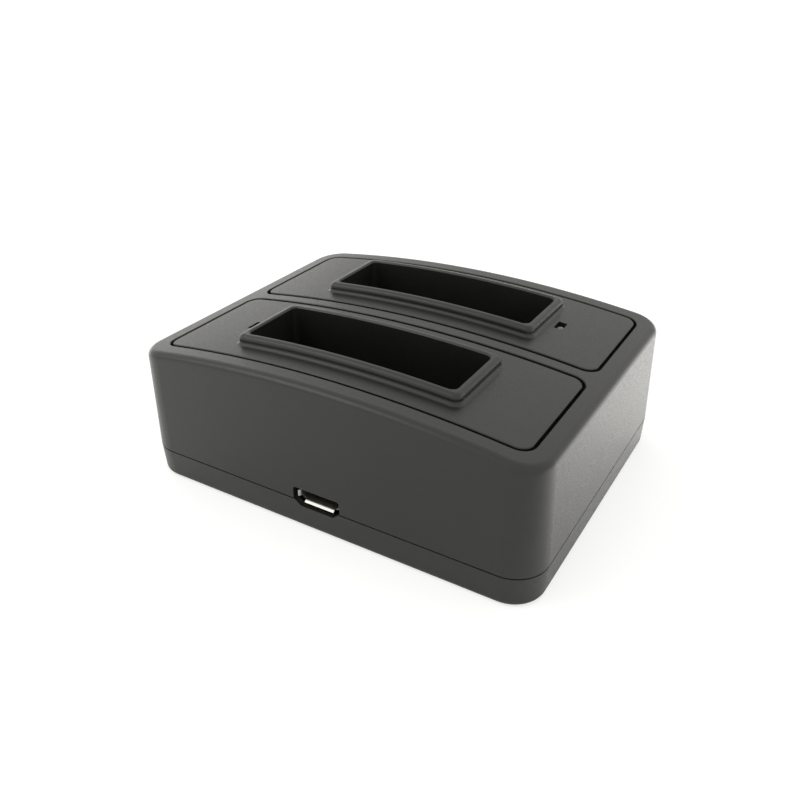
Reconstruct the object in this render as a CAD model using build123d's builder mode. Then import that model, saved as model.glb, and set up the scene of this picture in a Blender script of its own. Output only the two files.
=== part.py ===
"""Twin-bay camera battery charger: a two-part moulded case, two slot plates, a board and a USB inlet.

Frame: millimetres, +X along the long side, +Y to the back, +Z up, origin at the middle of the underside.
The inlet is at the front, -Y. Every rear bay piece is its front twin turned half round about Z.
"""

from build123d import *
import math
import os

# Case
case_length = 70.5       # along X, at the seam between the two cases
case_depth = 54.6        # along Y, at the seam
case_corner = 5.3        # plan radius of the upright corners, at the seam
base_height = 5.3        # underside to seam
crown_height = 20.0      # seam to the middle of the arched top
arch_radius = 217.5      # the top arches along X only
upper_draft = 1.4        # degrees that the upper walls lean in
lower_draft = 2.75       # degrees that the lower walls lean in
wall = 2.0
floor_thickness = 1.8
top_round = 1.3          # round along the rim of the arched top
bottom_round = 0.9
seam_gap = 0.2           # open line round the lower case, below the seam
seam_gap_depth = 0.45
lip_height = 1.2         # rim of the lower case that centres the upper one
lip_thickness = 0.8
lip_clearance = 0.15

# Slot plates and their windows in the arched top
side_border = 3.57       # case wall to window, at the short sides
front_border = 3.84      # case wall to window, at the long sides
centre_rib = 2.1         # bar of the case between the two windows
window_corner = 2.4
groove = 0.48            # open line round each plate
rib_groove = 0.65        # the same line along the centre rib
plate_thickness = 1.5
seat_clearance = 0.1
ledge_width = 1.2
ledge_thickness = 1.4
edge_break = 0.12        # on both edges of the groove

# Battery slots
slot_length = 36.5
slot_width = 11.9
slot_corner = 1.0
collar_wall = 1.3
collar_corner = 1.2      # plan radius of the collar's outer corners
collar_height = 1.6
collar_round = 0.85      # outer edge of the lip
lead_in = 0.25           # bevel on the inner edge of the lip
collar_root = 0.6        # fillet from collar to plate
well_wall = 1.2
under_well = 3.8         # free height between board and well

# Indicator windows and lamps
lamp_offset = 2.14       # collar to the middle of the window
lamp_window_length = 1.5
lamp_window_width = 2.6
lamp_window_skin = 0.5   # what is left of the plate above the lamp's pocket
lamp_radius = 1.0
lamp_pocket_gap = 0.2
lamp_flange_radius = 1.3
lamp_flange_height = 0.8
lamp_height = 4.2
lamp_sink = 0.26         # top of the lamp below the plate's face
lamp_lead = 0.4          # square wire
lamp_lead_pitch = 1.27
lamp_lead_tail = 0.6     # below the board

# Inlet opening and socket
inlet_width = 8.5
inlet_foot = 6.0         # width along the lower edge, between the sloped corners
inlet_rise = 2.13        # above the seam
inlet_drop = 1.1         # below the seam
inlet_round = 0.5
inlet_relief = 0.7       # room round the inlet, behind the skin of the case
socket_clearance = 0.22  # bent lips to inlet opening
socket_inset = 0.7       # lips behind the outer wall
socket_length = 5.8
socket_flare = 0.6       # length of the lips
socket_flare_out = 0.33  # how far the lips bend out
socket_bend = 0.5
socket_wall = 0.25
socket_round = 0.4
socket_lip_gap = 0.1     # lip to the corner beside it
tongue_base = 1.4
tongue_length = 3.0
tongue_width = 3.7
tongue_thickness = 0.7
tongue_fit = 0.05
pin_count = 5
pin_pitch = 0.65
pin_width = 0.3
pin_thickness = 0.15
pin_tail = 0.7
pin_setback = 0.4        # pins stop short of the tongue's tip

# Board and what it carries
board_gap = 0.6          # board to case wall, and to the screw posts
board_thickness = 1.2
board_corner = 1.0
board_post = 4.4         # square posts under the board
board_post_inset_x = 12.0
board_post_inset_y = 5.0
block_length = 5.0       # contact block
block_width = 10.0
block_inset = 4.2        # slot end to the middle of the block
block_rise = 2.2         # above the floor of the well
block_gap = 0.3
contact_pitch = 3.0
contact_width = 1.8
contact_thickness = 0.3
contact_arch = 1.9       # crest of the leaf above the block
contact_foot = 1.8
contact_bend = 0.5
chip_length = 4.9        # charge controller
chip_width = 3.9
chip_height = 1.45
chip_standoff = 0.1
chip_x = -5.0
chip_y = -8.0
lead_count = 4
lead_pitch = 1.27
lead_width = 0.42
lead_thickness = 0.2
lead_reach = 1.1
capacitor_size = (1.6, 0.8, 0.8)
resistor_size = (1.6, 0.8, 0.45)
chip_part_reach = 4.6    # controller to the small parts on both sides of it
chip_part_row = 2.4

# Screws
boss_radius = 2.4
boss_merge = 0.8         # how far a boss runs into the corner wall
post_radius = 2.9
pilot_radius = 1.0
pilot_depth = 9.0
screw_radius = 0.95
screw_hole_radius = 1.25
screw_end_gap = 1.0
head_radius = 2.0
head_height = 1.3
head_bevel = 0.4
head_well_radius = 2.4
head_well_depth = 2.6
recess_length = 2.2      # cross recess
recess_width = 0.5
recess_depth = 0.7
board_screw_radius = 0.8
board_pilot_radius = 0.85
board_pilot_depth = 2.4
board_head_radius = 1.6
board_head_height = 1.1

# Levels
seam = base_height
crown = seam + crown_height
top_wall = plate_thickness + seat_clearance + ledge_thickness
socket_low = seam - inlet_drop + socket_clearance + socket_flare_out
socket_high = seam + inlet_rise - socket_clearance - socket_flare_out
board_top = socket_low
board_bottom = board_top - board_thickness
well_floor = board_top + under_well + well_wall
block_top = well_floor + block_rise

# Plan
inner_length = case_length - 2 * wall
inner_depth = case_depth - 2 * wall
window_length = case_length - 2 * side_border
window_depth = case_depth / 2 - front_border - centre_rib / 2
window_y = (centre_rib + window_depth) / 2
plate_length = window_length - 2 * groove
plate_depth = window_depth - groove - rib_groove
bay_y = window_y + (rib_groove - groove) / 2
plate_corner = window_corner - groove
collar_length = slot_length + 2 * collar_wall
collar_width = slot_width + 2 * collar_wall
lamp_x = collar_length / 2 + lamp_offset
block_x = slot_length / 2 - block_inset
riser_x = block_x + block_length / 2 + contact_thickness / 2

boss_reach = (case_corner - wall - boss_radius + boss_merge) / math.sqrt(2)
boss_x = case_length / 2 - case_corner + boss_reach
boss_y = case_depth / 2 - case_corner + boss_reach
boss_points = [(x, y) for x in (-boss_x, boss_x) for y in (-boss_y, boss_y)]

board_length = inner_length - 2 * board_gap
board_depth = inner_depth - 2 * board_gap
board_post_x = board_length / 2 - board_post_inset_x
board_post_y = board_depth / 2 - board_post_inset_y
board_post_points = [(x, y) for x in (-board_post_x, board_post_x) for y in (-board_post_y, board_post_y)]
board_screw_x = (board_length - board_post) / 2
board_screw_points = [(-board_screw_x, 0), (board_screw_x, 0)]
lamp_lead_points = [(-lamp_x, -bay_y + end * lamp_lead_pitch / 2) for end in (-1, 1)]
all_lead_points = lamp_lead_points + [(-x, -y) for x, y in lamp_lead_points]


def arch_drop(x):
    """How far the arched top has fallen below its crown at x."""
    return arch_radius - math.sqrt(arch_radius**2 - x**2)


def arched_block(length, depth, corner, bottom, rise, centre_y=0.0, draft=0.0):
    """A block, rounded in plan, from a flat bottom to an arch that lies rise above the arched top."""
    with BuildPart() as block:
        with BuildSketch(Plane.XY.offset(bottom)):
            with Locations((0, centre_y)):
                RectangleRounded(length, depth, corner)
        extrude(amount=crown + rise - bottom, taper=draft)
        with BuildSketch(Plane.XZ):
            with Locations((0, crown - arch_radius)):
                Circle(arch_radius + rise)
        extrude(amount=case_depth, both=True, mode=Mode.INTERSECT)
    return block.part


def arched_slab(length, depth, corner, low, high, centre_y):
    """A slab, rounded in plan, between two arches that lie low and high above the arched top."""
    whole = arched_block(length, depth, corner, seam, high, centre_y)
    with BuildPart() as slab:
        add(whole)
        with BuildSketch(Plane.XZ):
            with Locations((0, crown - arch_radius)):
                Circle(arch_radius + low)
        extrude(amount=case_depth, both=True, mode=Mode.SUBTRACT)
    return slab.part


def arched_face(piece, rise):
    """The face of a piece that follows the arch at that rise above the arched top."""
    faces = piece.faces().filter_by(GeomType.CYLINDER)
    return faces.sort_by(lambda face: abs(face.radius - arch_radius - rise))[0]


def inlet_outline(width, foot, low, shoulder, high, rounding):
    """The inlet's outline: wide and square above, with sloped lower corners."""
    with BuildSketch(Plane.XZ, mode=Mode.PRIVATE) as outline:
        with BuildLine():
            Polyline(
                (-width / 2, high),
                (width / 2, high),
                (width / 2, shoulder),
                (foot / 2, low),
                (-foot / 2, low),
                (-width / 2, shoulder),
                close=True,
            )
        make_face()
        fillet(outline.vertices(), rounding)
    return outline.sketch


def half_turned(piece):
    """The rear twin of a front bay piece."""
    with BuildPart() as twin:
        add(piece.part, rotation=(0, 0, 180))
    return twin


def bent_strip(plane, points, bend, thickness, width):
    """A strip of sheet metal bent along the points, which lie on the plane, in the middle of its width."""
    with BuildPart() as strip:
        with BuildSketch(plane):
            with BuildLine():
                FilletPolyline(*points, radius=bend)
            trace(line_width=thickness)
        extrude(amount=width / 2, both=True)
    return strip


def stepped_lead(plane, start, step, end, high, low, thickness, width):
    """A flat lead on the plane: level from start to step, straight down, then level on to end."""
    half = math.copysign(thickness / 2, end - start)
    with BuildPart() as lead:
        with BuildSketch(plane):
            with BuildLine():
                Polyline(
                    (start, high + thickness / 2),
                    (step + half, high + thickness / 2),
                    (step + half, low + thickness / 2),
                    (end, low + thickness / 2),
                    (end, low - thickness / 2),
                    (step - half, low - thickness / 2),
                    (step - half, high - thickness / 2),
                    (start, high - thickness / 2),
                    close=True,
                )
            make_face()
        extrude(amount=width / 2, both=True)
    return lead


# Opening for the inlet, cut through both cases where they meet, with room round the socket behind it
rabbet = wall - lip_thickness - lip_clearance
with BuildPart() as inlet_opening:
    with BuildSketch(Plane.XZ.offset(inner_depth / 2 - board_gap)):
        add(inlet_outline(inlet_width, inlet_foot, seam - inlet_drop, seam, seam + inlet_rise, inlet_round))
    extrude(amount=2 * wall + board_gap)
    with BuildSketch(Plane.XZ.offset(case_depth / 2 - rabbet)):
        with Locations((0, seam + (inlet_rise - inlet_drop) / 2)):
            Rectangle(inlet_width + 2 * inlet_relief, inlet_rise + inlet_drop + 2 * inlet_relief)
    extrude(amount=-wall)

# Upper case: drafted shell under an arched top, with two windows that each hold a plate on a ledge
upper_skin = arched_block(case_length, case_depth, case_corner, seam, 0, draft=upper_draft)
upper_hollow = arched_block(
    inner_length, inner_depth, case_corner - wall, seam, -top_wall, draft=upper_draft
)
plate_seats = [
    arched_slab(
        window_length,
        window_depth,
        window_corner,
        -plate_thickness - seat_clearance,
        collar_height,
        side * window_y,
    )
    for side in (-1, 1)
]
well_openings = [
    arched_slab(
        window_length - 2 * ledge_width,
        window_depth - 2 * ledge_width,
        window_corner - ledge_width,
        -top_wall - seat_clearance,
        collar_height,
        side * window_y,
    )
    for side in (-1, 1)
]
with BuildPart() as upper_cavity:
    add(upper_hollow)
    with BuildSketch(Plane.XY.offset(seam)):
        with Locations(*boss_points):
            Circle(boss_radius)
    extrude(amount=crown_height, mode=Mode.SUBTRACT)

with BuildPart() as upper_case:
    add(upper_skin)
    fillet(arched_face(upper_case, 0).edges(), top_round)
    add(plate_seats, mode=Mode.SUBTRACT)
    chamfer(arched_face(upper_case, 0).inner_wires().edges(), edge_break)
    add(well_openings, mode=Mode.SUBTRACT)
    add(upper_cavity.part, mode=Mode.SUBTRACT)
    with BuildSketch(Plane.XY.offset(seam)):
        RectangleRounded(case_length - 2 * rabbet, case_depth - 2 * rabbet, case_corner - rabbet)
        RectangleRounded(
            inner_length - 2 * lip_clearance,
            inner_depth - 2 * lip_clearance,
            case_corner - wall - lip_clearance,
            mode=Mode.SUBTRACT,
        )
    extrude(amount=lip_height + lip_clearance, mode=Mode.SUBTRACT)
    with BuildSketch(Plane.XY.offset(seam)):
        with Locations(*boss_points):
            Circle(pilot_radius)
    extrude(amount=pilot_depth, mode=Mode.SUBTRACT)
    add(inlet_opening.part, mode=Mode.SUBTRACT)

# Lower case: tray with screw posts, board posts and the lip that centres the upper case
with BuildPart() as lower_case:
    with BuildSketch(Plane((0, 0, seam), z_dir=(0, 0, -1))):
        RectangleRounded(case_length, case_depth, case_corner)
    extrude(amount=base_height, taper=lower_draft)
    fillet(lower_case.faces().sort_by(Axis.Z)[0].edges(), bottom_round)
    with BuildSketch(Plane.XY.offset(seam)):
        RectangleRounded(case_length + wall, case_depth + wall, case_corner)
        RectangleRounded(
            case_length - 2 * seam_gap_depth,
            case_depth - 2 * seam_gap_depth,
            case_corner - seam_gap_depth,
            mode=Mode.SUBTRACT,
        )
    extrude(amount=-seam_gap, mode=Mode.SUBTRACT)
    with BuildSketch(Plane.XY.offset(floor_thickness)):
        RectangleRounded(inner_length, inner_depth, case_corner - wall)
        with Locations(*boss_points):
            Circle(post_radius, mode=Mode.SUBTRACT)
    extrude(amount=base_height, mode=Mode.SUBTRACT)
    with BuildSketch(Plane.XY.offset(floor_thickness)):
        with Locations(*board_post_points, *board_screw_points):
            Rectangle(board_post, board_post)
    extrude(amount=board_bottom - floor_thickness)
    with BuildSketch(Plane.XY.offset(seam)):
        RectangleRounded(
            inner_length + 2 * lip_thickness,
            inner_depth + 2 * lip_thickness,
            case_corner - wall + lip_thickness,
        )
        RectangleRounded(inner_length, inner_depth, case_corner - wall, mode=Mode.SUBTRACT)
    extrude(amount=lip_height)
    with BuildSketch(Plane.XY.offset(board_bottom)):
        with Locations(*board_screw_points):
            Circle(board_pilot_radius)
    extrude(amount=-board_pilot_depth, mode=Mode.SUBTRACT)
    with Locations(*[Location((x, y, 0), (180, 0, 0)) for x, y in boss_points]):
        CounterBoreHole(screw_hole_radius, head_well_radius, head_well_depth, 2 * base_height)
    add(inlet_opening.part, mode=Mode.SUBTRACT)

# Slot plate: arched plate, collar and battery well in one moulding, with a pocket below the lamp's window
lamp_face = crown - arch_drop(lamp_x)
plate_slab = arched_slab(plate_length, plate_depth, plate_corner, -plate_thickness, 0, -bay_y)
collar_slab = arched_slab(
    collar_length, collar_width, collar_corner, -plate_thickness, collar_height, -bay_y
)
well_block = arched_block(
    slot_length + 2 * well_wall,
    slot_width + 2 * well_wall,
    slot_corner + well_wall,
    well_floor - well_wall,
    -plate_thickness / 2,
    -bay_y,
)
slot_space = arched_block(slot_length, slot_width, slot_corner, well_floor, 2 * collar_height, -bay_y)
with BuildPart() as front_slot_plate:
    add(plate_slab)
    chamfer(arched_face(front_slot_plate, 0).edges(), edge_break)
    add(collar_slab)
    fillet(arched_face(front_slot_plate, 0).inner_wires().edges(), min(collar_root, 0.4 * collar_height))
    fillet(arched_face(front_slot_plate, collar_height).edges(), min(collar_round, 0.54 * collar_height))
    add(well_block)
    add(slot_space, mode=Mode.SUBTRACT)
    chamfer(arched_face(front_slot_plate, collar_height).inner_wires().edges(), lead_in)
    with BuildSketch(Plane.XY.offset(crown)):
        with Locations((-lamp_x, -bay_y)):
            Rectangle(lamp_window_length, lamp_window_width)
    extrude(amount=-arch_drop(lamp_x) - 2 * plate_thickness, mode=Mode.SUBTRACT)
    with BuildSketch(Plane.XY.offset(lamp_face - lamp_window_skin)):
        with Locations((-lamp_x, -bay_y)):
            Circle(lamp_radius + lamp_pocket_gap)
    extrude(amount=-2 * plate_thickness, mode=Mode.SUBTRACT)
    with BuildSketch(Plane.XY.offset(well_floor)):
        with Locations((block_x, -bay_y)):
            Rectangle(
                block_length + 2 * (contact_thickness + block_gap),
                block_width + 2 * block_gap,
            )
    extrude(amount=-well_wall, mode=Mode.SUBTRACT)
rear_slot_plate = half_turned(front_slot_plate)

# Circuit board, notched round the screw posts
with BuildPart() as circuit_board:
    with BuildSketch(Plane.XY.offset(board_bottom)):
        RectangleRounded(board_length, board_depth, board_corner)
        with Locations(*boss_points):
            Circle(post_radius + board_gap, mode=Mode.SUBTRACT)
        with Locations(*board_screw_points):
            Circle(board_pilot_radius, mode=Mode.SUBTRACT)
        with Locations(*all_lead_points):
            Rectangle(2 * lamp_lead, 2 * lamp_lead, mode=Mode.SUBTRACT)
    extrude(amount=board_thickness)

# Inlet socket: a steel shell with four bent lips, round a moulded tongue with its pins
socket_front = case_depth / 2 - socket_inset
socket_mouth = socket_front - socket_flare
socket_back = socket_front - socket_length
socket_shoulder = seam
socket_width = inlet_width - 2 * (socket_clearance + socket_flare_out)
socket_foot = inlet_foot - 2 * socket_clearance
socket_outer = inlet_outline(
    socket_width, socket_foot, socket_low, socket_shoulder, socket_high, socket_round
)
with BuildSketch(Plane.XZ) as socket_inner:
    add(socket_outer)
    offset(amount=-socket_wall, mode=Mode.REPLACE)


def bent_lip(plane, edge, way, width):
    """A lip that bends out of the socket's mouth, from the wall at edge, on a plane whose first axis is Y."""
    middle = edge - way * socket_wall / 2
    points = [
        (-socket_mouth, middle),
        (socket_flare_out - socket_front, middle),
        (-socket_front, middle + way * socket_flare_out),
    ]
    return bent_strip(plane, points, socket_bend, socket_wall, width).part


side_lip_low = socket_shoulder + socket_lip_gap
side_lip_high = socket_high - socket_round
side_plane = Plane((0, 0, (side_lip_low + side_lip_high) / 2), x_dir=(0, 1, 0), z_dir=(0, 0, -1))
socket_lips = [
    bent_lip(Plane.YZ, socket_low, -1, socket_foot - 2 * socket_lip_gap),
    bent_lip(Plane.YZ, socket_high, 1, socket_width - 2 * socket_round),
    bent_lip(side_plane, -socket_width / 2, -1, side_lip_high - side_lip_low),
    bent_lip(side_plane, socket_width / 2, 1, side_lip_high - side_lip_low),
]
with BuildPart() as usb_shell:
    with BuildSketch(Plane.XZ.offset(socket_back)):
        add(socket_outer)
        add(socket_inner.sketch, mode=Mode.SUBTRACT)
    extrude(amount=socket_mouth - socket_back)
    add(socket_lips)

tongue_level = (socket_low + socket_high) / 2
pin_level = tongue_level - tongue_thickness / 2 + pin_thickness / 2
pins = [
    stepped_lead(
        Plane.YZ.offset((number - (pin_count - 1) / 2) * pin_pitch),
        -socket_back - tongue_base - tongue_length + pin_setback,
        -socket_back + pin_tail,
        -socket_back + 2 * pin_tail,
        pin_level,
        board_top + pin_thickness / 2,
        pin_thickness,
        pin_width,
    )
    for number in range(pin_count)
]
with BuildPart() as usb_contacts:
    for pin in pins:
        add(pin.part)

with BuildPart() as usb_tongue:
    with BuildSketch(Plane.XZ.offset(socket_back)):
        add(socket_inner.sketch)
        offset(amount=-tongue_fit, mode=Mode.REPLACE)
    extrude(amount=tongue_base)
    with BuildSketch(Plane.XZ.offset(socket_back + tongue_base)):
        with Locations((0, tongue_level)):
            Rectangle(tongue_width, tongue_thickness)
    extrude(amount=tongue_length)
    add(usb_contacts.part, mode=Mode.SUBTRACT)

# Contact block and the three leaf contacts of the front bay
with BuildPart() as front_contact_block:
    with BuildSketch(Plane.XY.offset(board_top)):
        with Locations((block_x, -bay_y)):
            Rectangle(block_length, block_width)
    extrude(amount=block_top - board_top)
    chamfer(front_contact_block.faces().sort_by(Axis.Z)[-1].edges(), block_gap)
rear_contact_block = half_turned(front_contact_block)

leaf_path = [
    (riser_x + contact_foot, board_top + contact_thickness / 2),
    (riser_x, board_top + contact_thickness / 2),
    (riser_x, block_top + contact_thickness),
    (block_x, block_top + contact_arch),
    (block_x - block_length / 2, block_top + contact_thickness),
]
front_contacts = {
    f"front_{role}_contact": bent_strip(
        Plane.XZ.offset(bay_y + place * contact_pitch),
        leaf_path,
        contact_bend,
        contact_thickness,
        contact_width,
    )
    for place, role in zip((-1, 0, 1), ("positive", "sense", "negative"))
}
rear_contacts = {
    name.replace("front", "rear"): half_turned(contact) for name, contact in front_contacts.items()
}

# Indicator lamps, standing on their leads up into the windows
lamp_top = lamp_face - lamp_sink
lamp_base = lamp_top - lamp_height
with BuildPart() as front_lamp:
    with BuildSketch(Plane.XZ.offset(bay_y)):
        with BuildLine():
            Polyline(
                (-lamp_x, lamp_base),
                (-lamp_x + lamp_flange_radius, lamp_base),
                (-lamp_x + lamp_flange_radius, lamp_base + lamp_flange_height),
                (-lamp_x + lamp_radius, lamp_base + lamp_flange_height),
                (-lamp_x + lamp_radius, lamp_top - lamp_radius),
            )
            RadiusArc((-lamp_x + lamp_radius, lamp_top - lamp_radius), (-lamp_x, lamp_top), -lamp_radius)
            Line((-lamp_x, lamp_top), (-lamp_x, lamp_base))
        make_face()
    revolve(axis=Axis((-lamp_x, -bay_y, 0), (0, 0, 1)))
rear_lamp = half_turned(front_lamp)

with BuildPart() as front_lamp_leads:
    with BuildSketch(Plane.XY.offset(board_bottom - lamp_lead_tail)):
        with Locations(*lamp_lead_points):
            Rectangle(lamp_lead, lamp_lead)
    extrude(amount=lamp_base - board_bottom + lamp_lead_tail)
rear_lamp_leads = half_turned(front_lamp_leads)

# Charge controllers with their leads, and the small chip parts beside them
with BuildPart() as front_charge_controller:
    with BuildSketch(Plane.XY.offset(board_top + chip_standoff)):
        with Locations((chip_x, chip_y)):
            Rectangle(chip_length, chip_width)
    extrude(amount=chip_height)
    chamfer(front_charge_controller.faces().sort_by(Axis.Z)[-1].edges(), chip_standoff)
rear_charge_controller = half_turned(front_charge_controller)

chip_leads = []
for side in (-1, 1):
    lead_root = chip_y + side * chip_width / 2
    for number in range(lead_count):
        chip_leads.append(
            stepped_lead(
                Plane.YZ.offset(chip_x + (number - (lead_count - 1) / 2) * lead_pitch),
                lead_root,
                lead_root + side * lead_reach / 2,
                lead_root + side * lead_reach,
                board_top + chip_standoff + chip_height / 2,
                board_top + lead_thickness / 2,
                lead_thickness,
                lead_width,
            )
        )
with BuildPart() as controller_leads:
    for lead in chip_leads:
        add(lead.part)
        add(lead.part, rotation=(0, 0, 180))


def chip_parts(size, row):
    """Small parts on both sides of each charge controller, in one row."""
    length, width, height = size
    spots = [(chip_x + end * chip_part_reach, chip_y + row) for end in (-1, 1)]
    with BuildPart() as parts:
        with BuildSketch(Plane.XY.offset(board_top)):
            with Locations(*spots, *[(-x, -y) for x, y in spots]):
                Rectangle(length, width)
        extrude(amount=height)
    return parts


chip_capacitors = chip_parts(capacitor_size, 0)
chip_resistors = chip_parts(resistor_size, chip_part_row)


def tapping_screws(points, seat, way, shank, shank_length, head, height):
    """Pan-head screws whose heads bear on the level seat, with the shanks going the way given."""
    with BuildPart() as screws:
        with BuildSketch(Plane.XY.offset(seat)):
            with Locations(*points):
                Circle(head)
        extrude(amount=-way * height)
        crowns = screws.faces().filter_by(Plane.XY).group_by(Axis.Z)[0 if way > 0 else -1]
        chamfer(crowns.edges(), head_bevel)
        with BuildSketch(Plane.XY.offset(seat)):
            with Locations(*points):
                Circle(shank)
        extrude(amount=way * shank_length)
        with BuildSketch(Plane.XY.offset(seat - way * height)):
            with Locations(*points):
                Rectangle(recess_length, recess_width)
                Rectangle(recess_width, recess_length)
        extrude(amount=way * recess_depth, mode=Mode.SUBTRACT)
    return screws


case_screw_length = seam - head_well_depth + pilot_depth - screw_end_gap
case_screws = tapping_screws(
    boss_points, head_well_depth, 1, screw_radius, case_screw_length, head_radius, head_height
)
board_screw_length = board_thickness + board_pilot_depth - screw_end_gap / 2
board_screws = tapping_screws(
    board_screw_points, board_top, -1, board_screw_radius, board_screw_length,
    board_head_radius, board_head_height,
)

pieces = {
    "upper_case": upper_case,
    "lower_case": lower_case,
    "front_slot_plate": front_slot_plate,
    "rear_slot_plate": rear_slot_plate,
    "circuit_board": circuit_board,
    "usb_shell": usb_shell,
    "usb_tongue": usb_tongue,
    "usb_contacts": usb_contacts,
    "front_contact_block": front_contact_block,
    "rear_contact_block": rear_contact_block,
    **front_contacts,
    **rear_contacts,
    "front_lamp": front_lamp,
    "rear_lamp": rear_lamp,
    "front_lamp_leads": front_lamp_leads,
    "rear_lamp_leads": rear_lamp_leads,
    "front_charge_controller": front_charge_controller,
    "rear_charge_controller": rear_charge_controller,
    "controller_leads": controller_leads,
    "chip_capacitors": chip_capacitors,
    "chip_resistors": chip_resistors,
    "case_screws": case_screws,
    "board_screws": board_screws,
}
os.makedirs("parts", exist_ok=True)
for name, piece in pieces.items():
    piece.part.label = name
    export_step(piece.part, f"parts/{name}.step")
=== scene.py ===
"""Camera battery charger: finishes for the case, bays, inlet and board, and the screws, on a white table.

Lengths are metres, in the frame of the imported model: +X along the long side, +Y to the back, +Z up.
"""

import math

import bmesh
import bpy
from bpy.props import FloatProperty, FloatVectorProperty, PointerProperty
from mathutils import Matrix, Vector


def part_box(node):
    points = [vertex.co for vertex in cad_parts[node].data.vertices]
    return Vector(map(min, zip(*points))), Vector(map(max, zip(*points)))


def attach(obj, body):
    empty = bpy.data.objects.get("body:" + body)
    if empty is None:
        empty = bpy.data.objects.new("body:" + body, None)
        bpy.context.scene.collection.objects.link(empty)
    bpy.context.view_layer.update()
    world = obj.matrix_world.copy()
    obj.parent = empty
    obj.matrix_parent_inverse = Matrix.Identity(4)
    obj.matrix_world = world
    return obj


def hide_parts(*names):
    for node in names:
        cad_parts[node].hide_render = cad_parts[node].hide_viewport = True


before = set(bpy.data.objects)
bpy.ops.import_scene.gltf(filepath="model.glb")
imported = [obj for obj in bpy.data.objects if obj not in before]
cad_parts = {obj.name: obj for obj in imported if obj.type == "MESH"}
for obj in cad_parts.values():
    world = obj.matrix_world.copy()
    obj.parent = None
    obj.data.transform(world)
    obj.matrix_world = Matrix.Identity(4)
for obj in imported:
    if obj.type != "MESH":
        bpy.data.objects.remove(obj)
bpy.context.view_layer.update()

bl_info = {
    "name": "Camera battery charger",
    "version": (1, 0, 0),
    "blender": (4, 5, 0),
    "location": "View3D > Sidebar > Charger",
    "description": "Finishes and stages a desktop charger for camera batteries",
    "category": "Object",
}

MM = 0.001
BAYS = ("front", "rear")
ROLES = ("positive", "sense", "negative")

# Patterns of the materials
TONE_DRIFT = 9 * MM        # width of the faint changes of tone across a moulding
FIBRE = 0.15 * MM          # glass flecks in the nylon
CLOUD = 1.2 * MM           # clouds in the lamps' resin
WEAVE = 0.9 * MM           # glass threads of the board
WAVE_WIDTH = math.pi / 10  # width of one band of a wave texture whose scale is 1

# Facets and outline of the screws
ROUND_SIDES = 48
CROWN_STEPS = 6
THREAD_STEPS = 28
SPARE_TURNS = 4            # wound beyond the shank and cut off again
ROOT_SHARE = 0.35          # shares of the pitch
CREST_SHARE = 0.11
RECESS_TAPER = 0.6         # floor of the cross recess, as a share of its mouth
SMOOTH_ANGLE = math.radians(40)
UPWARD = 0.9               # least rise of a normal that points up
LEVEL_TOLERANCE = 0.01 * MM
WELD_DISTANCE = 0.001 * MM

# Camera
SENSOR_WIDTH = 36          # millimetres, as Blender takes it
NEAR_CLIP = 5 * MM


def linear(hex_colour):
    """An sRGB hex colour as linear red, green, blue and alpha."""
    channels = [int(hex_colour[place:place + 2], 16) / 255 for place in (1, 3, 5)]
    return [c / 12.92 if c <= 0.04045 else ((c + 0.055) / 1.055) ** 2.4 for c in channels] + [1.0]


def colour_property(name, description, hex_colour):
    """A colour that the user can change, written as an sRGB hex value."""
    return FloatVectorProperty(
        name=name, description=description, subtype="COLOR", size=4, min=0, max=1, default=linear(hex_colour)
    )


def length_property(name, description, millimetres):
    """A length that the user can change, written in millimetres."""
    return FloatProperty(
        name=name, description=description, subtype="DISTANCE", unit="LENGTH", precision=5,
        default=millimetres * MM,
    )


def place_property(name, description, millimetres):
    """A place that the user can change, written in millimetres."""
    return FloatVectorProperty(
        name=name, description=description, subtype="TRANSLATION", unit="LENGTH", precision=5,
        default=[distance * MM for distance in millimetres],
    )


def angle_property(name, description, degrees):
    """An angle that the user can change, written in degrees."""
    return FloatProperty(name=name, description=description, subtype="ANGLE", default=math.radians(degrees))


def share_property(name, description, share):
    """A share from 0 to 1 that the user can change."""
    return FloatProperty(name=name, description=description, subtype="FACTOR", min=0, max=1, default=share)


def level_property(name, description, level):
    """A level of light that the user can change, where 1 is white."""
    return FloatProperty(name=name, description=description, min=0, max=5, default=level)


def power_property(name, description, watts):
    """A lamp's power that the user can change, in watts."""
    return FloatProperty(
        name=name, description=description, subtype="POWER", unit="POWER", min=0, default=watts
    )


class ChargerFinish(bpy.types.PropertyGroup):
    """Colours and surface of the charger's materials."""

    case_colour: colour_property("Case", "Black ABS of the case and the slot plates", "#171716")
    case_grain: length_property("Case grain", "Width of one grain of the moulded texture", 0.2)
    case_polish: share_property("Case polish", "Roughness of the tops of the grain", 0.28)
    case_dullness: share_property("Case dullness", "Roughness between the grains", 0.43)
    plate_coarseness: share_property("Plate coarseness", "How much duller the slot plates are", 0.035)
    base_coarseness: share_property("Base coarseness", "How much duller the lower case is", 0.03)
    insulator_colour: colour_property("Insulator", "Black nylon by the contacts and in the inlet", "#1c1c1b")
    steel_colour: colour_property("Socket", "Tinned steel of the inlet's shell", "#bdbcb7")
    gold_colour: colour_property("Contacts", "Gold plating of the contacts", "#e2b765")
    lamp_colour: colour_property("Lamps", "Smoky clear resin of the indicator lamps", "#6a6c66")
    tin_colour: colour_property("Leads", "Tin on the leads", "#c3c3c0")
    mask_colour: colour_property("Board", "Solder mask on the circuit board", "#14532b")
    chip_colour: colour_property("Chips", "Filled resin of the chips", "#1e1e20")
    ceramic_colour: colour_property("Capacitors", "Fired ceramic of the capacitors", "#a98a63")
    zinc_colour: colour_property("Screws", "Zinc plating of the screws", "#b4b3ad")


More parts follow.
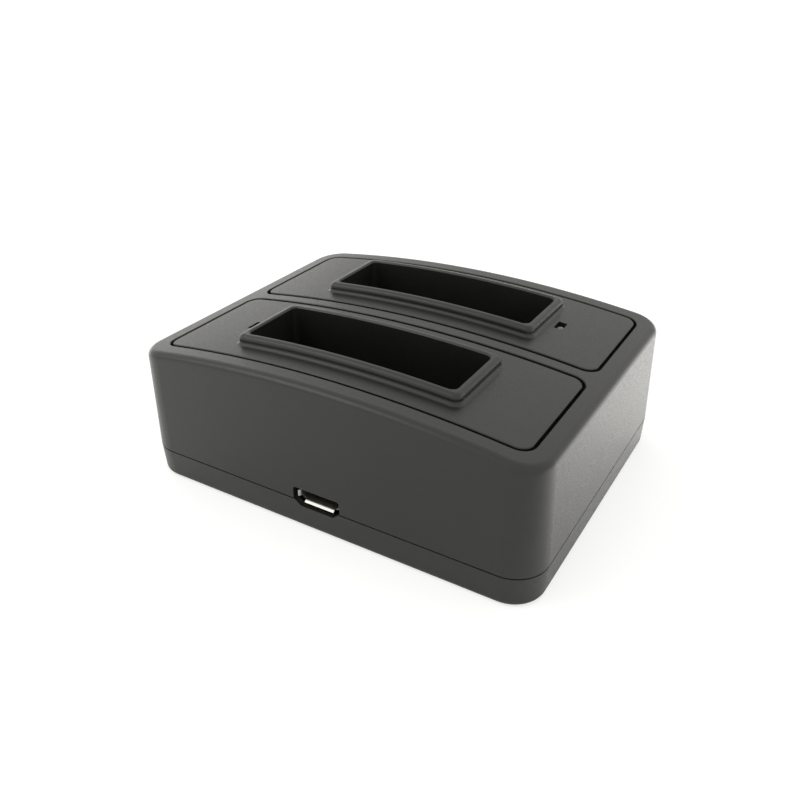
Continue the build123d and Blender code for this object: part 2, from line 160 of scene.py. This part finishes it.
class ChargerScrews(bpy.types.PropertyGroup):
    """Sizes of the tapping screws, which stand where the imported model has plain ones."""

    case_head: length_property("Case head", "Head radius of a case screw", 2.0)
    case_head_height: length_property("Case head height", "Head height of a case screw", 1.3)
    case_thread: length_property("Case thread", "Crest radius of a case screw", 0.95)
    case_pitch: length_property("Case pitch", "Thread pitch of a case screw", 0.8)
    board_head: length_property("Board head", "Head radius of a board screw", 1.6)
    board_head_height: length_property("Board head height", "Head height of a board screw", 1.1)
    board_thread: length_property("Board thread", "Crest radius of a board screw", 0.8)
    board_pitch: length_property("Board pitch", "Thread pitch of a board screw", 0.7)
    thread_depth: length_property("Thread depth", "Crest to root of the thread", 0.24)
    tip: length_property("Tip", "Chamfer at the end of the thread", 0.4)
    crown: length_property("Crown", "Round of the pan head", 0.6)
    recess_length: length_property("Recess length", "Length of one bar of the cross recess", 2.2)
    recess_width: length_property("Recess width", "Width of one bar of the cross recess", 0.5)
    recess_depth: length_property("Recess depth", "Depth of the cross recess", 0.7)


class ChargerStage(bpy.types.PropertyGroup):
    """Table, light and camera."""

    table_colour: colour_property("Table", "White table and background", "#ffffff")
    table_size: length_property("Table size", "Side of the square table", 4000)
    light_colour: colour_property("Light colour", "Slightly warm white of the room", "#fffefa")
    light_level: level_property("Light", "Level of the soft light all round", 1.0)
    room_sheen: level_property("Room sheen", "How bright gloss sees the room", 1.12)
    table_tone: share_property("Table tone", "Share of light that the table throws back", 0.7)
    table_glow: share_property("Table glow", "Tone of the table in deep shadow", 0.63)
    shadow_depth: share_property("Shadow depth", "How much a shadow darkens the table", 0.5)
    # Painted light: these paint the table brighter where the charger's gloss sees it, rising along Y to the
    # back and further to the left, in place of more light falling on the table there.
    front_painted_light: level_property("Front sheen", "How bright gloss sees the table in front", 1.02)
    back_painted_light: level_property("Back sheen", "How bright gloss sees the table behind", 2.5)
    left_painted_light: level_property("Left sheen", "How much brighter gloss sees the table far to the left", 0.6)
    painted_light_start: length_property("Sheen front", "Where the sheen starts to rise, along Y", -45)
    painted_light_full: length_property("Sheen back", "Where the sheen is full, along Y", 45)
    painted_light_reach: length_property("Sheen left", "How far to the left the sheen still rises", 300)
    softbox_size: length_property("Softbox size", "Side of the square softbox", 300)
    softbox_place: place_property("Softbox", "Where the softbox hangs", (-380, -340, 470))
    softbox_power: power_property("Softbox power", "Power of the softbox", 0.6)
    window_size: length_property("Window size", "Side of the square window", 520)
    window_place: place_property("Window", "Where the window is", (-760, 510, 110))
    window_power: power_property("Window power", "Power of the window", 0.45)
    camera_place: place_property("Camera", "Where the camera stands", (61.59, -103.60, 79.93))
    camera_azimuth: angle_property("Azimuth", "Turn to the right of the front", 31.395)
    camera_elevation: angle_property("Elevation", "How far the camera looks down", 30.081)
    camera_roll: angle_property("Roll", "Lean of the picture", -0.683)
    camera_lens: FloatProperty(
        name="Lens", description="Focal length, for the sensor's width", subtype="DISTANCE_CAMERA",
        default=36.286,
    )


def new_material(name):
    """An empty node material."""
    material = bpy.data.materials.new(name)
    material.use_nodes = True
    material.node_tree.nodes.clear()
    return material


def add_node(owner, kind, inputs=None, **settings):
    """Adds a node to a material or world: inputs are values or sockets to link, settings are its options."""
    node = owner.node_tree.nodes.new(kind)
    for name, value in settings.items():
        setattr(node, name, value)
    for name, value in (inputs or {}).items():
        if isinstance(value, bpy.types.NodeSocket):
            owner.node_tree.links.new(value, node.inputs[name])
        else:
            node.inputs[name].default_value = value
    return node


def shade(colour, factor):
    """A colour made lighter or darker."""
    return [min(1.0, channel * factor) for channel in colour[:3]] + [1.0]


def mottled(material, pattern, colour, dark, light, span=(0.3, 0.7)):
    """A colour that goes from a dark to a light share of itself where a pattern rises across a span."""
    ramp = add_node(material, "ShaderNodeValToRGB", {"Fac": pattern})
    for element, position, share in zip(ramp.color_ramp.elements, span, (dark, light)):
        element.position = position
        element.color = shade(colour, share)
    return ramp.outputs["Color"]


def speckled(material, width):
    """A pattern of soft specks of a real width, fixed in the piece's own place."""
    place = add_node(material, "ShaderNodeTexCoord").outputs["Object"]
    specks = add_node(material, "ShaderNodeTexNoise", {"Vector": place, "Scale": 1 / width, "Detail": 2.0})
    return specks.outputs["Fac"]


def finish_surface(material, inputs):
    """Ends a material in one principled surface."""
    surface = add_node(material, "ShaderNodeBsdfPrincipled", inputs)
    add_node(material, "ShaderNodeOutputMaterial", {"Surface": surface.outputs["BSDF"]})
    return material


def moulded_abs(name, finish, coarser=0.0):
    """Black ABS from a spark-eroded mould: dull hollows and bright tops give a finely speckled satin sheen."""
    material = new_material(name)
    grain = speckled(material, finish.case_grain)
    drift = speckled(material, TONE_DRIFT)
    tone = mottled(material, drift, finish.case_colour, dark=0.9, light=1.1)
    gloss = add_node(
        material, "ShaderNodeMapRange",
        {
            "Value": grain, "From Min": 0.35, "From Max": 0.65,
            "To Min": finish.case_dullness + coarser, "To Max": finish.case_polish + coarser,
        },
    ).outputs["Result"]
    bump = add_node(material, "ShaderNodeBump", {"Height": grain, "Strength": 0.07, "Distance": 0.03 * MM})
    return finish_surface(material, {
        "Base Color": tone, "Roughness": gloss, "IOR": 1.5, "Normal": bump.outputs["Normal"],
    })


def moulded_nylon(finish):
    """Black glass-filled nylon: duller than the case, with pale flecks of fibre."""
    material = new_material("Moulded black nylon")
    fleck = speckled(material, FIBRE)
    tone = mottled(material, fleck, finish.insulator_colour, dark=1.0, light=2.2, span=(0.45, 0.8))
    bump = add_node(material, "ShaderNodeBump", {"Height": fleck, "Strength": 0.3, "Distance": 0.01 * MM})
    return finish_surface(material, {
        "Base Color": tone, "Roughness": 0.5, "IOR": 1.53, "Normal": bump.outputs["Normal"],
    })


def plated_metal(name, colour, roughness, streak, spread=0.03):
    """Plated metal: bright, with fine rolling marks along X that stretch its reflections."""
    material = new_material(name)
    place = add_node(material, "ShaderNodeTexCoord").outputs["Object"]
    along = add_node(material, "ShaderNodeMapping", {"Vector": place, "Scale": (0.08, 1.0, 1.0)})
    marks = add_node(
        material, "ShaderNodeTexNoise",
        {"Vector": along.outputs["Vector"], "Scale": 1 / streak, "Detail": 3.0},
    ).outputs["Fac"]
    tone = mottled(material, marks, colour, dark=0.95, light=1.0, span=(0.25, 0.75))
    gloss = add_node(
        material, "ShaderNodeMapRange",
        {"Value": marks, "To Min": roughness - spread, "To Max": roughness + spread},
    ).outputs["Result"]
    bump = add_node(material, "ShaderNodeBump", {"Height": marks, "Strength": 0.04, "Distance": 0.01 * MM})
    return finish_surface(material, {
        "Base Color": tone, "Metallic": 1.0, "Roughness": gloss, "Normal": bump.outputs["Normal"],
    })


def cast_resin(finish):
    """Smoky cast resin of a lamp: a glossy skin with a dim, cloudy depth under it."""
    material = new_material("Smoky cast resin")
    tone = mottled(material, speckled(material, CLOUD), finish.lamp_colour, dark=0.9, light=1.0)
    return finish_surface(material, {
        "Base Color": tone, "Roughness": 0.08, "IOR": 1.54, "Transmission Weight": 0.35,
        "Coat Weight": 0.5, "Coat Roughness": 0.03,
    })


def laminate(finish):
    """Green solder mask over glass laminate: the weave shows faintly through a glossy lacquer."""
    material = new_material("Solder mask on glass laminate")
    place = add_node(material, "ShaderNodeTexCoord").outputs["Object"]
    threads = {"Vector": place, "Scale": WAVE_WIDTH / WEAVE, "Distortion": 1.5, "Detail": 1.0}
    warp, weft = [
        add_node(material, "ShaderNodeTexWave", threads, bands_direction=way).outputs["Fac"] for way in "XY"
    ]
    weave = add_node(material, "ShaderNodeMath", {0: warp, 1: weft}, operation="MAXIMUM").outputs["Value"]
    tone = mottled(material, weave, finish.mask_colour, dark=0.85, light=1.1, span=(0.4, 1.0))
    return finish_surface(material, {
        "Base Color": tone, "Roughness": 0.32, "IOR": 1.55, "Coat Weight": 0.4, "Coat Roughness": 0.15,
    })


def matt_body(name, colour, grain, roughness):
    """A dull filled resin or fired ceramic: an even colour with fine grit."""
    material = new_material(name)
    grit = speckled(material, grain)
    tone = mottled(material, grit, colour, dark=0.85, light=1.1)
    bump = add_node(material, "ShaderNodeBump", {"Height": grit, "Strength": 0.3, "Distance": 0.01 * MM})
    return finish_surface(material, {
        "Base Color": tone, "Roughness": roughness, "Normal": bump.outputs["Normal"],
    })


def dress(material, *names):
    """Gives CAD nodes a material in their own slots."""
    for name in names:
        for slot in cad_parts[name].material_slots:
            slot.material = material


def select_where(piece, kind, chosen):
    """In edit mode, selects only the edges or faces that a test chooses."""
    bpy.ops.mesh.select_mode(type=kind)
    bpy.ops.mesh.select_all(action="DESELECT")
    shape = bmesh.from_edit_mesh(piece.data)
    for item in shape.edges if kind == "EDGE" else shape.faces:
        item.select_set(chosen(item))
    bmesh.update_edit_mesh(piece.data)


class CHARGER_OT_case(bpy.types.Operator):
    """Finish the two halves of the case and the slot plates, which are moulded from one plastic"""

    bl_idname = "charger.case"
    bl_label = "Case and slot plates"

    def execute(self, context):
        finish = context.scene.charger_finish
        dress(moulded_abs("Fine moulded black ABS", finish), "upper_case")
        plates = [f"{bay}_slot_plate" for bay in BAYS]
        dress(moulded_abs("Moulded black ABS", finish, finish.plate_coarseness), *plates)
        dress(moulded_abs("Coarse moulded black ABS", finish, finish.base_coarseness), "lower_case")
        return {"FINISHED"}


class CHARGER_OT_inlet(bpy.types.Operator):
    """Finish the inlet: tinned shell, black tongue and gold pins"""

    bl_idname = "charger.inlet"
    bl_label = "Power inlet"

    def execute(self, context):
        finish = context.scene.charger_finish
        tinned = plated_metal("Tinned sheet steel", finish.steel_colour, roughness=0.34, streak=0.08 * MM)
        dress(tinned, "usb_shell")
        dress(moulded_nylon(finish), "usb_tongue")
        gold = plated_metal("Gold on bronze pins", finish.gold_colour, roughness=0.25, streak=0.05 * MM)
        dress(gold, "usb_contacts")
        return {"FINISHED"}


class CHARGER_OT_contacts(bpy.types.Operator):
    """Finish the contact blocks and the leaf contacts of both bays"""

    bl_idname = "charger.contacts"
    bl_label = "Bay contacts"

    def execute(self, context):
        finish = context.scene.charger_finish
        dress(moulded_nylon(finish), *[f"{bay}_contact_block" for bay in BAYS])
        gold = plated_metal("Gold on spring bronze", finish.gold_colour, roughness=0.24, streak=0.06 * MM)
        dress(gold, *[f"{bay}_{role}_contact" for bay in BAYS for role in ROLES])
        return {"FINISHED"}


class CHARGER_OT_lamps(bpy.types.Operator):
    """Finish the indicator lamps and their leads"""

    bl_idname = "charger.lamps"
    bl_label = "Indicator lamps"

    def execute(self, context):
        finish = context.scene.charger_finish
        dress(cast_resin(finish), *[f"{bay}_lamp" for bay in BAYS])
        tinned = plated_metal("Tinned lamp wire", finish.tin_colour, roughness=0.3, streak=0.06 * MM)
        dress(tinned, *[f"{bay}_lamp_leads" for bay in BAYS])
        return {"FINISHED"}


class CHARGER_OT_board(bpy.types.Operator):
    """Finish the circuit board and the parts on it"""

    bl_idname = "charger.board"
    bl_label = "Circuit board"

    def execute(self, context):
        finish = context.scene.charger_finish
        dress(laminate(finish), "circuit_board")
        chip = matt_body("Filled chip resin", finish.chip_colour, grain=0.1 * MM, roughness=0.6)
        dress(chip, "chip_resistors", *[f"{bay}_charge_controller" for bay in BAYS])
        ceramic = matt_body("Fired ceramic", finish.ceramic_colour, grain=0.08 * MM, roughness=0.45)
        dress(ceramic, "chip_capacitors")
        tinned = plated_metal("Tinned chip leads", finish.tin_colour, roughness=0.3, streak=0.05 * MM)
        dress(tinned, "controller_leads")
        return {"FINISHED"}


class CHARGER_OT_screws(bpy.types.Operator):
    """Model the tapping screws that hold the case and the board, with their threads and cross recesses"""

    bl_idname = "charger.screws"
    bl_label = "Screws"

    def execute(self, context):
        finish = context.scene.charger_finish
        sizes = context.scene.charger_screws
        zinc = plated_metal("Zinc plated steel", finish.zinc_colour, roughness=0.33, streak=0.1 * MM)

        low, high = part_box("case_screws")
        screw = self.make_screw(sizes, "case", high.z - low.z)
        across = (low.x + sizes.case_head, high.x - sizes.case_head)
        back = (low.y + sizes.case_head, high.y - sizes.case_head)
        corners = [(x, y, low.z + sizes.case_head_height) for x in across for y in back]
        self.set_in(screw, "case_screws", corners, zinc)

        low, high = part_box("board_screws")
        screw = self.make_screw(sizes, "board", high.z - low.z)
        bpy.ops.transform.rotate(value=math.pi, orient_axis="X", center_override=(0, 0, 0))
        bpy.ops.object.transform_apply(location=True, rotation=True, scale=True)
        across = (low.x + sizes.board_head, high.x - sizes.board_head)
        ends = [(x, (low.y + high.y) / 2, high.z - sizes.board_head_height) for x in across]
        self.set_in(screw, "board_screws", ends, zinc)
        return {"FINISHED"}

    def make_screw(self, sizes, kind, whole):
        """A case or board screw of a whole length, along +Z, with the seat of its pan head at the origin."""
        radius = getattr(sizes, f"{kind}_head")
        height = getattr(sizes, f"{kind}_head_height")
        screw = self.make_cylinder(radius, -height, 0)
        self.bevel_rim(screw, -height, sizes.crown, CROWN_STEPS)
        for turn in (0, math.pi / 2):
            self.combine(screw, self.make_bar(sizes, height, turn), "DIFFERENCE")
        thread = getattr(sizes, f"{kind}_thread")
        pitch = getattr(sizes, f"{kind}_pitch")
        root = (height - sizes.recess_depth) / 2
        self.combine(screw, self.make_shank(sizes, thread, pitch, -root, whole - height), "UNION")
        bpy.ops.object.shade_smooth_by_angle(angle=SMOOTH_ANGLE)
        return screw

    def make_cylinder(self, radius, bottom, top):
        """A plain cylinder along Z between two levels, to be shaped."""
        bpy.ops.object.select_all(action="DESELECT")
        bpy.ops.mesh.primitive_cylinder_add(
            vertices=ROUND_SIDES, radius=radius, depth=top - bottom, location=(0, 0, (bottom + top) / 2)
        )
        bpy.ops.object.transform_apply(location=True, rotation=True, scale=True)
        return bpy.context.object

    def bevel_rim(self, piece, level, size, steps):
        """Bevels the rim of a cylinder at a level."""
        bpy.ops.object.mode_set(mode="EDIT")
        select_where(
            piece, "EDGE", lambda edge: all(abs(vert.co.z - level) < LEVEL_TOLERANCE for vert in edge.verts)
        )
        bpy.ops.mesh.bevel(offset=size, segments=steps, affect="EDGES")
        bpy.ops.object.mode_set(mode="OBJECT")

    def make_bar(self, sizes, height, turn):
        """One bar of the cross recess, drawn in towards its floor."""
        bpy.ops.object.select_all(action="DESELECT")
        bpy.ops.mesh.primitive_cube_add(
            size=1, location=(0, 0, -height), rotation=(0, 0, turn),
            scale=(sizes.recess_length, sizes.recess_width, 2 * sizes.recess_depth),
        )
        bar = bpy.context.object
        bpy.ops.object.transform_apply(location=True, rotation=True, scale=True)
        bpy.ops.object.mode_set(mode="EDIT")
        select_where(bar, "FACE", lambda face: face.normal.z > UPWARD)
        floor = (0, 0, sizes.recess_depth - height)
        bpy.ops.transform.resize(value=(RECESS_TAPER, RECESS_TAPER, 1), center_override=floor)
        bpy.ops.object.mode_set(mode="OBJECT")
        return bar

    def make_shank(self, sizes, radius, pitch, bottom, top):
        """A threaded shank from a level inside the head to its chamfered end."""
        shank = self.draw_ridge(radius, sizes.thread_depth, pitch, bottom - SPARE_TURNS / 2 * pitch)
        turns = math.ceil((top - bottom) / pitch) + SPARE_TURNS
        self.wind_ridge(shank, pitch, turns, bottom, top)
        blank = self.make_cylinder(radius + sizes.tip, bottom, top)
        self.bevel_rim(blank, top, 2 * sizes.tip, 1)
        self.combine(shank, blank, "INTERSECT")
        return shank

    def draw_ridge(self, radius, depth, pitch, start):
        """The thread's outline over one pitch, as a line of edges beside the Z axis."""
        bpy.ops.object.select_all(action="DESELECT")
        bpy.ops.mesh.primitive_plane_add(size=pitch)
        outline = bpy.context.object
        bpy.ops.object.mode_set(mode="EDIT")
        bpy.ops.mesh.select_mode(type="VERT")
        bpy.ops.mesh.select_all(action="SELECT")
        bpy.ops.mesh.merge(type="CENTER")
        bpy.ops.transform.translate(value=(radius - depth, 0, start))
        flank = (1 - ROOT_SHARE - CREST_SHARE) / 2
        for out, share in ((0, ROOT_SHARE), (depth, flank), (0, CREST_SHARE), (-depth, flank)):
            bpy.ops.mesh.extrude_vertices_move(TRANSFORM_OT_translate={"value": (out, 0, share * pitch)})
        bpy.ops.object.mode_set(mode="OBJECT")
        return outline

    def wind_ridge(self, outline, pitch, turns, bottom, top):
        """Winds the outline up into a skin and closes it level at both ends, with its faces outwards."""
        wind = outline.modifiers.new("wind", "SCREW")
        wind.screw_offset = pitch
        wind.iterations = turns
        wind.steps = THREAD_STEPS
        wind.render_steps = THREAD_STEPS
        bpy.ops.object.modifier_apply(modifier=wind.name)
        bpy.ops.object.mode_set(mode="EDIT")
        bpy.ops.mesh.select_all(action="SELECT")
        bpy.ops.mesh.remove_doubles(threshold=WELD_DISTANCE)
        for level, side in ((top, 1), (bottom, -1)):
            bpy.ops.mesh.select_all(action="SELECT")
            bpy.ops.mesh.bisect(
                plane_co=(0, 0, level), plane_no=(0, 0, side), use_fill=True, clear_outer=True,
                threshold=WELD_DISTANCE,
            )
        bpy.ops.mesh.select_all(action="SELECT")
        bpy.ops.mesh.normals_make_consistent(inside=False)
        bpy.ops.object.mode_set(mode="OBJECT")

    def combine(self, piece, other, operation):
        """Joins a second solid to a piece, cuts it away or keeps what both share, and removes the second."""
        change = piece.modifiers.new(operation, "BOOLEAN")
        change.operation = operation
        change.object = other
        bpy.ops.object.select_all(action="DESELECT")
        piece.select_set(True)
        bpy.context.view_layer.objects.active = piece
        bpy.ops.object.modifier_apply(modifier=change.name)
        bpy.data.objects.remove(other)

    def set_in(self, screw, node, places, material):
        """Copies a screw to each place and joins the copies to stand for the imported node."""
        screw.data.materials.clear()
        screw.data.materials.append(material)
        copies = []
        for place in places:
            bpy.ops.object.select_all(action="DESELECT")
            screw.select_set(True)
            bpy.context.view_layer.objects.active = screw
            bpy.ops.object.duplicate()
            bpy.ops.transform.translate(value=place)
            bpy.ops.object.transform_apply(location=True, rotation=True, scale=True)
            copies.append(bpy.context.object)
        bpy.data.objects.remove(screw)
        for copy in copies:
            copy.select_set(True)
        bpy.ops.object.join()
        piece = bpy.context.object
        piece.name = f"threaded_{node}"
        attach(piece, "root")
        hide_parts(node)


class CHARGER_OT_stage(bpy.types.Operator):
    """Lay the white table, light it softly from all round and set the camera"""

    bl_idname = "charger.stage"
    bl_label = "Table, light and camera"

    def execute(self, context):
        scene = context.scene
        stage = scene.charger_stage
        self.lay_table(stage)
        self.light_room(scene, stage)
        self.hang_panel(scene, "softbox", stage.softbox_size, stage.softbox_place, stage.softbox_power)
        self.hang_panel(scene, "window", stage.window_size, stage.window_place, stage.window_power)
        self.set_camera(scene, stage)
        return {"FINISHED"}

    def lay_table(self, stage):
        """Lays a plain table of one material."""
        bpy.ops.object.select_all(action="DESELECT")
        bpy.ops.mesh.primitive_plane_add(size=stage.table_size)
        table = bpy.context.object
        table.name = "table"
        table.data.materials.append(self.table_top(stage))

    def table_top(self, stage):
        """Matt laminate: white to the eye but for a faint shadow, and with painted light where the charger's
        gloss sees it.
        """
        material = new_material("Matt white laminate")
        path = add_node(material, "ShaderNodeLightPath").outputs
        plain = add_node(
            material, "ShaderNodeBsdfDiffuse", {"Color": shade(stage.table_colour, stage.table_tone)}
        )
        # Painted light: gloss sees the table in a diffuse colour brighter than white, rising to the back and
        # to the left
        sheen = add_node(material, "ShaderNodeBsdfDiffuse", {"Color": self.painted_sheen_level(material, stage)})
        mirrored = add_node(
            material, "ShaderNodeMixShader",
            {0: path["Is Glossy Ray"], 1: plain.outputs["BSDF"], 2: sheen.outputs["BSDF"]},
        )
        shadow = add_node(
            material, "ShaderNodeBsdfDiffuse", {"Color": shade(stage.table_colour, stage.shadow_depth)}
        )
        glow = add_node(
            material, "ShaderNodeEmission", {"Color": stage.table_colour, "Strength": stage.table_glow}
        )
        seen = add_node(
            material, "ShaderNodeAddShader", {0: shadow.outputs["BSDF"], 1: glow.outputs["Emission"]}
        )
        in_view = add_node(
            material, "ShaderNodeMath",
            {0: path["Is Camera Ray"], 1: path["Is Transmission Ray"]}, operation="MAXIMUM",
        )
        surface = add_node(
            material, "ShaderNodeMixShader",
            {0: in_view.outputs["Value"], 1: mirrored.outputs["Shader"], 2: seen.outputs["Shader"]},
        )
        add_node(material, "ShaderNodeOutputMaterial", {"Surface": surface.outputs["Shader"]})
        return material

    def painted_sheen_level(self, material, stage):
        """Painted light: how bright gloss sees the table, painted to rise to the back and to the left."""
        place = add_node(material, "ShaderNodeTexCoord").outputs["Object"]
        across = add_node(material, "ShaderNodeSeparateXYZ", {"Vector": place}).outputs
        to_back = add_node(
            material, "ShaderNodeMapRange",
            {
                "Value": across["Y"], "From Min": stage.painted_light_start, "From Max": stage.painted_light_full,
                "To Min": stage.front_painted_light, "To Max": stage.back_painted_light,
            },
            interpolation_type="SMOOTHSTEP",
        ).outputs["Result"]
        to_left = add_node(
            material, "ShaderNodeMapRange",
            {"Value": across["X"], "From Min": 0, "From Max": -stage.painted_light_reach, "To Max": stage.left_painted_light},
        ).outputs["Result"]
        both = add_node(material, "ShaderNodeMath", {0: to_back, 1: to_left}, operation="ADD")
        return both.outputs["Value"]

    def light_room(self, scene, stage):
        """A white room that lights the charger from all round, and is plain white where it is seen."""
        world = bpy.data.worlds.new("White room")
        world.use_nodes = True
        world.node_tree.nodes.clear()
        path = add_node(world, "ShaderNodeLightPath").outputs
        lit, seen = [
            add_node(world, "ShaderNodeBackground", {"Color": stage.light_colour, "Strength": level})
            for level in (stage.light_level, stage.room_sheen)
        ]
        in_view = path["Is Camera Ray"]
        for ray in ("Is Glossy Ray", "Is Transmission Ray"):
            either = add_node(world, "ShaderNodeMath", {0: in_view, 1: path[ray]}, operation="MAXIMUM")
            in_view = either.outputs["Value"]
        surface = add_node(
            world, "ShaderNodeMixShader",
            {0: in_view, 1: lit.outputs["Background"], 2: seen.outputs["Background"]},
        )
        add_node(world, "ShaderNodeOutputWorld", {"Surface": surface.outputs["Shader"]})
        scene.world = world
        scene.view_settings.view_transform = "Standard"

    def hang_panel(self, scene, name, size, place, power):
        """A square of soft light that faces the charger."""
        panel = bpy.data.lights.new(name, "AREA")
        panel.size = size
        panel.energy = power
        holder = bpy.data.objects.new(name, panel)
        place = Vector(place)
        holder.matrix_world = Matrix.Translation(place) @ place.to_track_quat("Z", "Y").to_matrix().to_4x4()
        holder.visible_camera = False
        scene.collection.objects.link(holder)

    def set_camera(self, scene, stage):
        """The camera of the picture, by its place and three turns."""
        camera = bpy.data.cameras.new("camera")
        camera.sensor_width = SENSOR_WIDTH
        camera.lens = stage.camera_lens
        camera.clip_start = NEAR_CLIP
        holder = bpy.data.objects.new("camera", camera)
        scene.collection.objects.link(holder)
        turn = Matrix.Rotation(stage.camera_azimuth, 4, "Z")
        turn = turn @ Matrix.Rotation(math.pi / 2 - stage.camera_elevation, 4, "X")
        turn = turn @ Matrix.Rotation(stage.camera_roll, 4, "Z")
        holder.matrix_world = Matrix.Translation(Vector(stage.camera_place)) @ turn
        scene.camera = holder


OPERATORS = (
    CHARGER_OT_case,
    CHARGER_OT_inlet,
    CHARGER_OT_contacts,
    CHARGER_OT_lamps,
    CHARGER_OT_board,
    CHARGER_OT_screws,
    CHARGER_OT_stage,
)


class CHARGER_PT_sidebar(bpy.types.Panel):
    """Lists the charger's steps and their settings"""

    bl_idname = "CHARGER_PT_sidebar"
    bl_label = "Camera battery charger"
    bl_space_type = "VIEW_3D"
    bl_region_type = "UI"
    bl_category = "Charger"

    def draw(self, context):
        scene = context.scene
        for group in (scene.charger_finish, scene.charger_screws, scene.charger_stage):
            box = self.layout.box()
            for name in group.__annotations__:
                box.prop(group, name)
        for operator in OPERATORS:
            self.layout.operator(operator.bl_idname)


CLASSES = (ChargerFinish, ChargerScrews, ChargerStage, *OPERATORS, CHARGER_PT_sidebar)


def register():
    for item in CLASSES:
        bpy.utils.register_class(item)
    bpy.types.Scene.charger_finish = PointerProperty(type=ChargerFinish)
    bpy.types.Scene.charger_screws = PointerProperty(type=ChargerScrews)
    bpy.types.Scene.charger_stage = PointerProperty(type=ChargerStage)


def unregister():
    del bpy.types.Scene.charger_stage
    del bpy.types.Scene.charger_screws
    del bpy.types.Scene.charger_finish
    for item in reversed(CLASSES):
        bpy.utils.unregister_class(item)


def main():
    register()
    bpy.ops.charger.case()
    bpy.ops.charger.inlet()
    bpy.ops.charger.contacts()
    bpy.ops.charger.lamps()
    bpy.ops.charger.board()
    bpy.ops.charger.screws()
    bpy.ops.charger.stage()


if __name__ == "__main__":
    main()
